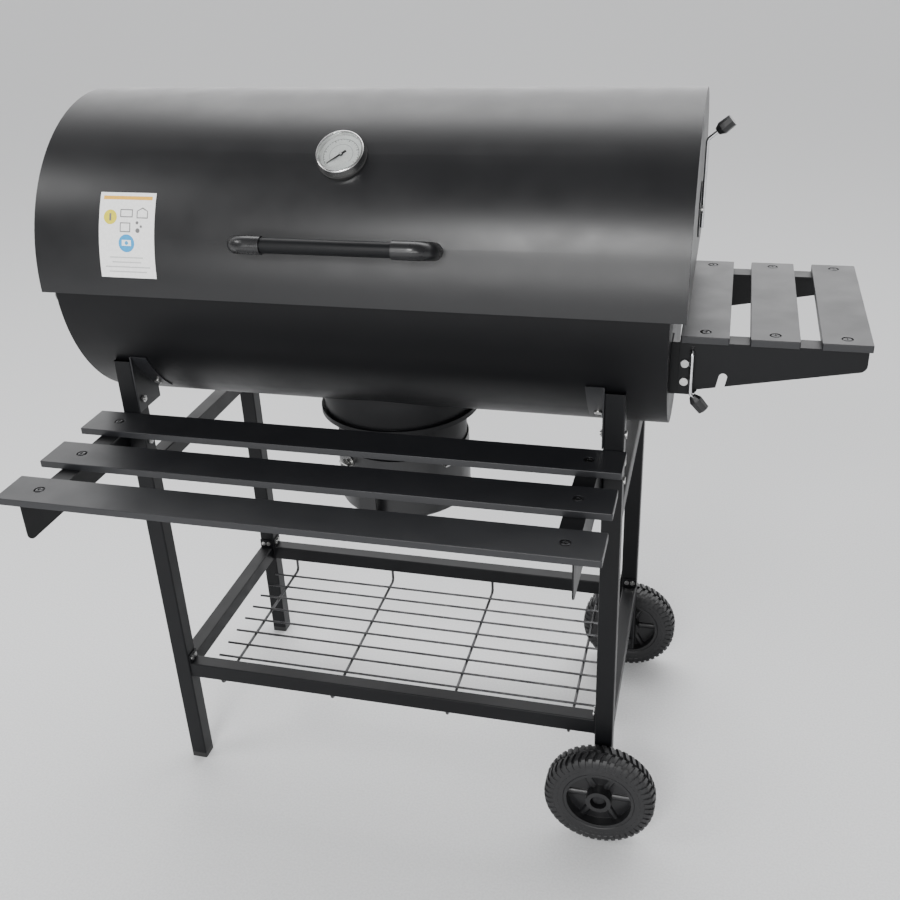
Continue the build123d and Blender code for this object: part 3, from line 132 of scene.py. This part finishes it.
def relief(made, noise, height, strength, edge=0.0):
    """Bump of height metres from noise, with edges rounded by edge metres in the shading."""
    tree = made.node_tree
    bump = tree.nodes.new("ShaderNodeBump")
    bump.inputs["Strength"].default_value = strength
    bump.inputs["Distance"].default_value = height
    tree.links.new(noise.outputs["Fac"], bump.inputs["Height"])
    if edge:
        bevel = tree.nodes.new("ShaderNodeBevel")
        bevel.samples = bevel_samples
        bevel.inputs["Radius"].default_value = edge
        tree.links.new(bevel.outputs["Normal"], bump.inputs["Normal"])
    tree.links.new(bump.outputs["Normal"], tree.nodes["Principled BSDF"].inputs["Normal"])


def satin_paint(name, dark, light, rough_low, rough_high, grain, edge, specular=0.5):
    """Sprayed satin paint: cloudy sheen, faint colour drift and orange peel."""
    made = material(name, dark, rough_low, specular=specular)
    tint(made, place_noise(made, scale=5.0, detail=3.0), dark, light)
    clouds = place_noise(made, scale=22.0, detail=4.0)
    spread(made, clouds, rough_low, rough_high, "Roughness")
    relief(made, place_noise(made, grain), height=0.2 * mm, strength=0.25, edge=edge)
    return made


def worn_metal(name, dark, light, rough_low, rough_high):
    """Bare or plated metal with roughness drawn out along X and fine pits."""
    made = material(name, light, rough_low, metallic=1.0)
    tint(made, place_noise(made, scale=60.0, detail=3.0), dark, light)
    drawn = place_noise(made, scale=120.0, detail=3.0, stretch=(0.2, 1, 1))
    spread(made, drawn, rough_low, rough_high, "Roughness")
    relief(made, place_noise(made, scale=900.0), height=0.1 * mm, strength=0.15, edge=0.4 * mm)
    return made


def moulded_plastic(name, dark, light, rough_low, rough_high, grain=1400.0, edge=0.6 * mm):
    """Moulded plastic or rubber with a fine spark-eroded grain."""
    made = material(name, dark, rough_low)
    tint(made, place_noise(made, scale=14.0, detail=3.0), dark, light)
    clouds = place_noise(made, scale=40.0, detail=3.0)
    spread(made, clouds, rough_low, rough_high, "Roughness")
    pits = place_noise(made, grain, detail=1.0)
    relief(made, pits, height=0.15 * mm, strength=0.35, edge=edge)
    return made


def print_ink(name, color):
    """Flat printed ink with a faint unevenness."""
    made = material(name, color, roughness=0.45)
    pale = tuple(min(1.0, channel * 1.08 + 0.004) for channel in color)
    tint(made, place_noise(made, scale=300.0), color, pale)
    return made


def clear_glass(name):
    """Thin flat glass."""
    made = material(name, (0.95, 0.97, 0.97), roughness=0.03)
    shader = made.node_tree.nodes["Principled BSDF"]
    shader.inputs["Transmission Weight"].default_value = 1.0
    shader.inputs["IOR"].default_value = 1.45
    return made


looks = {
    "black_paint": satin_paint("black_paint", (0.0055, 0.0057, 0.0066), (0.007, 0.0072, 0.0082),
                               0.33, 0.39, grain=700.0, edge=0.5 * mm),
    "black_shelf": satin_paint("black_shelf", (0.010, 0.0105, 0.0125), (0.012, 0.0125, 0.0145),
                               0.38, 0.46, grain=1100.0, edge=0.6 * mm),
    # The tube paint is a darker, less shiny copy of the black paint: painted shade on the tubes.
    "black_tube": satin_paint("black_tube", (0.003, 0.0032, 0.004), (0.004, 0.0043, 0.0052),
                              0.38, 0.46, grain=1100.0, edge=0.5 * mm, specular=0.22),
    "handle_plastic": moulded_plastic("handle_plastic", (0.010, 0.010, 0.011),
                                      (0.013, 0.013, 0.014), 0.24, 0.32),
    "knob_plastic": moulded_plastic("knob_plastic", (0.012, 0.012, 0.013),
                                    (0.016, 0.016, 0.017), 0.32, 0.42),
    "wire_chrome": worn_metal("wire_chrome", (0.55, 0.55, 0.57), (0.75, 0.75, 0.76), 0.12, 0.24),
    "screw_zinc": worn_metal("screw_zinc", (0.42, 0.42, 0.42), (0.60, 0.60, 0.58), 0.25, 0.40),
    "screw_black": worn_metal("screw_black", (0.035, 0.035, 0.037), (0.06, 0.06, 0.062),
                              0.30, 0.42),
    "bezel_chrome": worn_metal("bezel_chrome", (0.60, 0.60, 0.60), (0.72, 0.72, 0.71),
                               0.14, 0.24),
    "dial_white": print_ink("dial_white", (0.88, 0.88, 0.86)),
    "needle_black": print_ink("needle_black", (0.012, 0.012, 0.012)),
    "glass_clear": clear_glass("glass_clear"),
    "gasket_black": moulded_plastic("gasket_black", (0.012, 0.012, 0.012),
                                    (0.016, 0.016, 0.016), 0.6, 0.7),
    "stem_steel": worn_metal("stem_steel", (0.40, 0.40, 0.39), (0.55, 0.55, 0.54), 0.25, 0.35),
    "label_print": print_ink("label_print", (0.88, 0.88, 0.87)),
    "tyre_black": moulded_plastic("tyre_black", (0.0085, 0.0085, 0.0095),
                                  (0.013, 0.013, 0.014), 0.42, 0.55, grain=900.0,
                                  edge=0.5 * mm),
    "hub_black": moulded_plastic("hub_black", (0.008, 0.008, 0.009), (0.011, 0.011, 0.012),
                                 0.30, 0.40, edge=0.8 * mm),
    "rack_wire": worn_metal("rack_wire", (0.05, 0.05, 0.052), (0.09, 0.09, 0.092), 0.30, 0.42),
    "cap_plastic": moulded_plastic("cap_plastic", (0.012, 0.012, 0.012),
                                   (0.016, 0.016, 0.016), 0.5, 0.6),
    "grate_steel": worn_metal("grate_steel", (0.05, 0.048, 0.045), (0.10, 0.095, 0.09),
                              0.40, 0.60),
}
# Painted shade: the barrel's paint is a darker, less shiny copy of the black paint, standing in
# for the shade below the lid.
shaded_barrel_paint = satin_paint("shaded_barrel_paint", (0.0035, 0.0036, 0.0043), (0.0045, 0.0046, 0.0054),
                           0.40, 0.47, grain=700.0, edge=0.5 * mm, specular=0.2)
# Nodes whose finish isn't the usual one of their slot: darker, duller copies that paint in shade
# on the barrel, ash collar, shelf arms, mounts and brackets, and on the axle bolts in the hubs'
# recesses.
shaded_looks = {"barrel_shell": shaded_barrel_paint, "barrel_end_left": shaded_barrel_paint,
             "barrel_end_right": shaded_barrel_paint, "ash_collar": shaded_barrel_paint,
             "side_arms": looks["black_tube"], "side_mounts": looks["black_tube"],
             "bracket_left": looks["black_tube"], "bracket_right": looks["black_tube"],
             "axle_bolts": looks["screw_black"]}
for entry in frame["record"]["subparts"]:
    shown = nodes[entry["node"]]
    shown.data.materials.clear()
    shown.data.materials.append(shaded_looks.get(entry["node"], looks[entry["material_slot"]]))


# ---------------------------------------------------------------- mesh helpers
def piece(name, vertices, faces, body, slot, finish=None, smooth=0.0):
    """Mesh object riding on a body, with its own finish or else the finish of a record slot.

    Edges flatter than smooth degrees are shaded round.
    """
    mesh = bpy.data.meshes.new(name)
    mesh.from_pydata([tuple(v) for v in vertices], [], faces)
    mesh.validate()
    made = bpy.data.objects.new(name, mesh)
    bpy.context.scene.collection.objects.link(made)
    mesh.materials.append(finish or looks[slot])
    if smooth:
        mesh.shade_smooth()
        mesh.set_sharp_from_angle(angle=radians(smooth))
    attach(made, body)
    return made


def fix_normals(made):
    """Point every face of a mesh outwards."""
    work = bmesh.new()
    work.from_mesh(made.data)
    bmesh.ops.recalc_face_normals(work, faces=work.faces)
    work.to_mesh(made.data)
    work.free()


def join(parts):
    """One vertex and face list from several."""
    vertices, faces = [], []
    for some_vertices, some_faces in parts:
        first = len(vertices)
        vertices += some_vertices
        faces += [tuple(first + i for i in face) for face in some_faces]
    return vertices, faces


# ---------------------------------------------------------------- tyres
# Profiles are (w, r) points: w across the tyre from its middle plane, r from the axle's line.
tread_count = 46
tread_pitch = 2 * pi / tread_count
tyre_half = size("tyre_front").y / 2
tyre_radius = size("tyre_front").z / 2
bead_radius = tyre_radius * 0.636
lug_slant = 4.0         # turn in radians for each metre from the middle plane
lug_taper = 0.16        # share of a block's width lost at its top
lug_taper_depth = 4.5 * mm


def lathe(points, steps, center, way):
    """Vertices and faces of a closed profile of (w, r) points turned about Y."""
    vertices = []
    for step in range(steps):
        turn = 2 * pi * step / steps
        vertices += [center + Vector((r * cos(turn), way * w, r * sin(turn))) for w, r in points]
    count = len(points)
    faces = []
    for step in range(steps):
        a, b = step * count, (step + 1) % steps * count
        faces += [(a + i, a + (i + 1) % count, b + (i + 1) % count, b + i) for i in range(count)]
    return vertices, faces


def lug(points, turn, half, slant, center, way):
    """Tread block: a (w, r) outline from turn - half to turn + half, leaning with w."""
    vertices = []
    for side in (-1, 1):
        for w, r in points:
            rise = max(0.0, (r - tyre_radius + lug_taper_depth) / lug_taper_depth)
            at = turn + side * half * (1.0 - lug_taper * rise) + slant * abs(w)
            vertices.append(center + Vector((r * cos(at), way * w, r * sin(at))))
    count = len(points)
    faces = [tuple(range(count)), tuple(range(2 * count - 1, count - 1, -1))]
    faces += [(i, i + count, (i + 1) % count + count, (i + 1) % count) for i in range(count)]
    return vertices, faces


def tyre(end):
    """Tyre with two staggered rows of blocks, shoulder ribs and a ring of dashes."""
    node = f"tyre_{end}"
    center = middle(node)
    way = 1 if center.y > axis_y else -1
    h, top = tyre_half, tyre_radius
    half_profile = [(h - 2.6 * mm, bead_radius), (h - 1.2 * mm, bead_radius + 1.5 * mm),
                    (h - 0.6 * mm, bead_radius + 5 * mm), (h - 0.6 * mm, top - 19 * mm),
                    (h - 1.2 * mm, top - 10 * mm), (h - 3.5 * mm, top - 5.5 * mm),
                    (h - 8 * mm, top - 4.2 * mm), (0.9 * mm, top - 4.0 * mm)]
    profile = half_profile + [(-w, r) for w, r in reversed(half_profile)]
    parts = [lathe(profile, 4 * tread_count, center, way)]
    block = [(1.3 * mm, top - 5 * mm), (1.3 * mm, top - 0.6 * mm), (2.2 * mm, top),
             (h - 8.5 * mm, top - 0.2 * mm), (h - 4.2 * mm, top - 1.8 * mm),
             (h - 1.4 * mm, top - 5.5 * mm), (h, top - 9 * mm), (h, top - 15 * mm),
             (h - 1.4 * mm, top - 17 * mm), (h - 3 * mm, top - 9 * mm)]
    dash = [(h - 1.2 * mm, top - 21.5 * mm), (h - 0.1 * mm, top - 21.8 * mm),
            (h - 0.1 * mm, top - 22.8 * mm), (h - 1.2 * mm, top - 23.1 * mm)]
    for number in range(tread_count):
        for side in (-1, 1):
            turn = tread_pitch * (number + 0.25 * side)
            for outline, half, slant in ((block, 0.29, lug_slant), (dash, 0.25, 0.0)):
                outline = [(side * w, r) for w, r in outline]
                parts.append(lug(outline, turn, half * tread_pitch, slant, center, way))
    vertices, faces = join(parts)
    made = piece(f"tread_{end}", vertices, faces, f"{end}_wheel", "tyre_black", smooth=28)
    fix_normals(made)
    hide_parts(node)


tyre("front")
tyre("back")


# ---------------------------------------------------------------- shelf screw heads
head_drop = 1.1 * mm        # from a head's crown to its rim
# Rings up the dome: inset as a share of the head's radius, and height from the crown.
dome_rings = ((0.13, -0.6 * mm), (0.14, -0.25 * mm), (0.25, 0.0))
recess_waist, recess_arm = 0.17, 0.27
recess_depth = 1.3 * mm


def domed_heads(node, body):
    """Copy of a group of upright screws with domed heads and cross recesses."""
    mesh = nodes[node].data.copy()
    work = bmesh.new()
    work.from_mesh(mesh)
    bmesh.ops.remove_doubles(work, verts=work.verts, dist=0.001 * mm)
    left = set(work.faces)
    caps = []
    while left:
        island, edge = set(), [left.pop()]
        while edge:
            face = edge.pop()
            island.add(face)
            for side in face.edges:
                for other in side.link_faces:
                    if other in left:
                        left.remove(other)
                        edge.append(other)
        top = max(v.co.z for face in island for v in face.verts)
        caps.append([f for f in island if all(v.co.z > top - 0.01 * mm for v in f.verts)])
    for cap in caps:
        face = bmesh.ops.dissolve_faces(work, faces=cap)["region"][0]
        center = sum((v.co for v in face.verts), Vector()) / len(face.verts)
        radius = max((v.co - center).length for v in face.verts)
        for v in face.verts:
            v.co.z -= head_drop
        for inset, height in dome_rings:
            bmesh.ops.inset_region(work, faces=[face], thickness=inset * radius)
            for v in face.verts:
                v.co.z = center.z + height
        for v in face.verts:
            way = v.co - center
            turn = atan2(way.y, way.x)
            reach = radius * (recess_waist + recess_arm * abs(cos(2 * turn)) ** 3)
            v.co.x = center.x + reach * cos(turn)
            v.co.y = center.y + reach * sin(turn)
        bmesh.ops.inset_region(work, faces=[face], thickness=0.03 * radius)
        for v in face.verts:
            v.co.z = center.z - recess_depth
    work.to_mesh(mesh)
    work.free()
    made = bpy.data.objects.new(f"domed_{node}", mesh)
    bpy.context.scene.collection.objects.link(made)
    mesh.shade_smooth()
    mesh.set_sharp_from_angle(angle=radians(32))
    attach(made, body)
    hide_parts(node)


domed_heads("shelf_screws", "frame")

# ---------------------------------------------------------------- inks
inks = {"orange": print_ink("ink_orange", (0.80, 0.42, 0.03)),
        "yellow": print_ink("ink_yellow", (0.72, 0.62, 0.02)),
        "blue": print_ink("ink_blue", (0.02, 0.30, 0.62)),
        "grey": print_ink("ink_grey", (0.14, 0.14, 0.14)),
        "pale": print_ink("ink_pale", (0.48, 0.48, 0.48)),
        "white": print_ink("ink_white", (0.88, 0.88, 0.87)),
        "black": print_ink("ink_black", (0.02, 0.02, 0.02))}

# ---------------------------------------------------------------- label print
label_low, label_high = (Vector(corner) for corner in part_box("lid_label"))


def lid_angle(y, z):
    """Angle of a point about the lid's axis, from level at the front."""
    return atan2(z - axis_z, axis_y - y)


print_lift = 0.35 * mm      # the print's height over the lid
over = 0.03 * mm            # step of a print that lies on another
print_radius = lid_radius + print_lift
label_base = lid_angle(label_low.y, label_low.z)
label_crown = lid_angle(label_high.y, label_high.z)
label_height = (label_crown - label_base) * lid_radius
label_wide = label_high.x - label_low.x
# The layout is in units of which the label is this many wide.
units_wide = 84
unit = label_wide / units_wide
tall = label_height / unit
disc_steps, gable_steps = 20, 6


def on_lid(u, v, lift=0.0):
    """Point on the label: u and v in metres from its lower left corner."""
    turn = label_base + v / lid_radius
    radius = print_radius + lift
    return (label_low.x + u, axis_y - radius * cos(turn), axis_z + radius * sin(turn))


def strips(name, rows, color, lift=0.0):
    """Shape printed on the label: rows of (v, left u, right u) in units, from below upwards."""
    vertices = []
    for v, left, right in rows:
        vertices += [on_lid(left * unit, v * unit, lift), on_lid(right * unit, v * unit, lift)]
    faces = [(2 * i, 2 * i + 1, 2 * i + 3, 2 * i + 2) for i in range(len(rows) - 1)]
    piece(name, vertices, faces, "lid", "label_print", inks[color])


def block(u, v, wide, high):
    """Rows of a rectangle, about two units apart to follow the lid's curve."""
    count = max(1, round(high / 2))
    return [(v + high * i / count, u, u + wide) for i in range(count + 1)]


def disc(u, v, radius):
    """Rows of a circle."""
    rows = []
    for i in range(disc_steps + 1):
        turn = pi * i / disc_steps
        half = radius * sin(turn)
        rows.append((v - radius * cos(turn), u - half, u + half))
    return rows


def gable(u, v, wide, high, eaves):
    """Rows of a rectangle with a pitched top."""
    rows = block(u, v, wide, eaves)
    for i in range(1, gable_steps + 1):
        share = i / gable_steps
        rows.append((v + eaves + (high - eaves) * share, u + wide * share / 2,
                     u + wide - wide * share / 2))
    return rows


strips("print_band", block(5, tall - 10, 74, 5), "orange")
strips("print_yellow", disc(17, 82, 10), "yellow")
strips("print_yellow_bar", block(15.5, 77, 3, 10), "grey", over)
strips("print_disc", disc(42, 47, 12), "blue")
strips("print_disc_mark", block(35, 43.5, 14, 8), "white", over)
strips("print_disc_dot", disc(42, 47.5, 2.6), "blue", 2 * over)
strips("print_box", block(32, 82, 19, 11), "grey")
strips("print_box_inner", block(33.4, 83.4, 16.2, 8.2), "white", over)
strips("print_gable", gable(57, 81, 17, 15, 10), "grey")
strips("print_gable_inner", gable(58.4, 82.4, 14.2, 11.6, 8.2), "white", over)
strips("print_square", block(32, 62, 16, 13), "grey")
strips("print_square_inner", block(33.4, 63.4, 13.2, 10.2), "white", over)
for number, (u, v, radius) in enumerate(((58, 75, 2.2), (64, 70, 1.8), (59, 64.5, 3.2))):
    strips(f"print_dot_{number}", disc(u, v, radius), "grey")
for number, (start, end) in enumerate(((16, 66), (19, 63), (8, 76), (13, 70))):
    strips(f"print_line_{number}", block(start, 27 - 6.5 * number, end - start, 1.6), "pale")

# ---------------------------------------------------------------- dial print
dial_turn = radians(47.5)       # the thermometer's place on the lid, from level at the front
dial_out = Vector((0, -cos(dial_turn), sin(dial_turn)))
dial_up = Vector((0, sin(dial_turn), cos(dial_turn)))
dial_side = Vector((1, 0, 0))
dial_low, dial_high = (Vector(corner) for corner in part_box("thermo_dial"))
dial_radius = (dial_high.x - dial_low.x) / 2
dial_mid_x = (dial_high.x + dial_low.x) / 2
# Height of the dial's printed face over the lid's axis, read near its two ends in X.
face_height = max(Vector((0, v.co.y - axis_y, v.co.z - axis_z)).dot(dial_out)
                  for v in nodes["thermo_dial"].data.vertices
                  if abs(v.co.x - dial_mid_x) > dial_radius * 0.8)


def on_dial(radius, turn, lift):
    """Point on the dial at a clockwise turn from straight up."""
    return (Vector((dial_mid_x, axis_y, axis_z)) + dial_out * (face_height + lift)
            + dial_side * (radius * sin(turn)) + dial_up * (radius * cos(turn)))


def dial_arc(name, inner, outer, start, end, color):
    """Printed ring sector; inner and outer are shares of the dial's radius."""
    steps = max(2, int((end - start) / radians(5)))
    vertices = []
    for i in range(steps + 1):
        turn = start + (end - start) * i / steps
        vertices += [on_dial(share * dial_radius, turn, 0.05 * mm) for share in (inner, outer)]
    faces = [(2 * i, 2 * i + 1, 2 * i + 3, 2 * i + 2) for i in range(steps)]
    piece(name, vertices, faces, "lid", "dial_white", inks[color])


scale_start, scale_end = radians(-130), radians(130)
scale_radius = 0.80
tick_steps = 26
dial_arc("scale_line", scale_radius, 0.815, scale_start, scale_end, "black")
dial_arc("scale_inner", 0.52, 0.545, scale_start, scale_end, "pale")
for tick in range(tick_steps + 1):
    tick_turn = scale_start + (scale_end - scale_start) * tick / tick_steps
    inner, half = (0.70, radians(1.1)) if tick % 5 == 0 else (0.75, radians(0.6))
    dial_arc(f"tick_{tick}", inner, scale_radius, tick_turn - half, tick_turn + half, "black")

# ---------------------------------------------------------------- floor, light and camera
floor_mesh = bpy.data.meshes.new("floor")
floor_reach = 30.0
floor_mesh.from_pydata([(x * floor_reach, y * floor_reach, 0)
                        for x, y in ((-1, -1), (1, -1), (1, 1), (-1, 1))], [], [(0, 1, 2, 3)])
floor = bpy.data.objects.new("floor", floor_mesh)
bpy.context.scene.collection.objects.link(floor)
floor_look = material("floor_look", (0.6, 0.6, 0.6), roughness=0.9)
floor_specks = place_noise(floor_look, scale=260.0, detail=4.0)
tint(floor_look, floor_specks, (0.72, 0.725, 0.73), (0.80, 0.805, 0.81))
relief(floor_look, place_noise(floor_look, scale=400.0), height=0.4 * mm, strength=0.2)
floor_mesh.materials.append(floor_look)


def soft_light(name, place, aim, wide, high, watts):
    """Rectangular area light aimed at a point."""
    lamp = bpy.data.lights.new(name, "AREA")
    lamp.shape = "RECTANGLE"
    lamp.size = wide
    lamp.size_y = high
    lamp.energy = watts
    made = bpy.data.objects.new(name, lamp)
    made.location = place
    made.rotation_euler = (Vector(aim) - Vector(place)).to_track_quat("-Z", "Y").to_euler()
    bpy.context.scene.collection.objects.link(made)


soft_light("ceiling", (0.0, 1.8, 3.6), (0, 0, 0.6), wide=4.0, high=1.4, watts=50)
soft_light("front", (0.2, -4.6, 1.35), (0, 0, 0.9), wide=5.0, high=0.9, watts=120)
soft_light("window", (-0.2, -3.0, 2.55), (0.1, 0, 0.95), wide=1.1, high=0.5, watts=70)
soft_light("key", (-3.0, -1.4, 3.2), (0, 0, 0.7), wide=1.4, high=1.0, watts=45)

# The sky is dim in front of the object and bright behind it, with a smooth change along Y.
front_sky, back_sky = 0.26, 2.9
world = bpy.data.worlds.new("studio")
world.use_nodes = True
sky = world.node_tree
backdrop = sky.nodes["Background"]
backdrop.inputs["Color"].default_value = (0.96, 0.96, 0.97, 1)
direction = sky.nodes.new("ShaderNodeTexCoord")
parts_of = sky.nodes.new("ShaderNodeSeparateXYZ")
front_to_back = sky.nodes.new("ShaderNodeMapRange")
front_to_back.interpolation_type = "SMOOTHSTEP"
front_to_back.inputs["From Min"].default_value = -0.1
front_to_back.inputs["From Max"].default_value = 0.9
front_to_back.inputs["To Min"].default_value = front_sky
front_to_back.inputs["To Max"].default_value = back_sky
sky.links.new(direction.outputs["Generated"], parts_of.inputs["Vector"])
sky.links.new(parts_of.outputs["Y"], front_to_back.inputs["Value"])
sky.links.new(front_to_back.outputs["Result"], backdrop.inputs["Strength"])
bpy.context.scene.world = world

# The camera's place is from the middle of the barrel, and its height is from the floor.
camera_data = bpy.data.cameras.new("camera")
camera_data.lens = 42.42
camera_data.sensor_width = 36.0
camera = bpy.data.objects.new("camera", camera_data)
bpy.context.scene.collection.objects.link(camera)
camera_right = Vector((0.96828, 0.24655, -0.04048))
camera_forward = Vector((-0.23685, 0.85419, -0.46288))
camera_up = camera_right.cross(camera_forward)
camera_turn = Matrix((camera_right, camera_up, -camera_forward)).transposed()
camera_place = (barrel_middle.x + 0.4895, axis_y - 1.4843, 1.3681)
camera.matrix_world = Matrix.Translation(camera_place) @ camera_turn.to_4x4()
bpy.context.scene.camera = camera
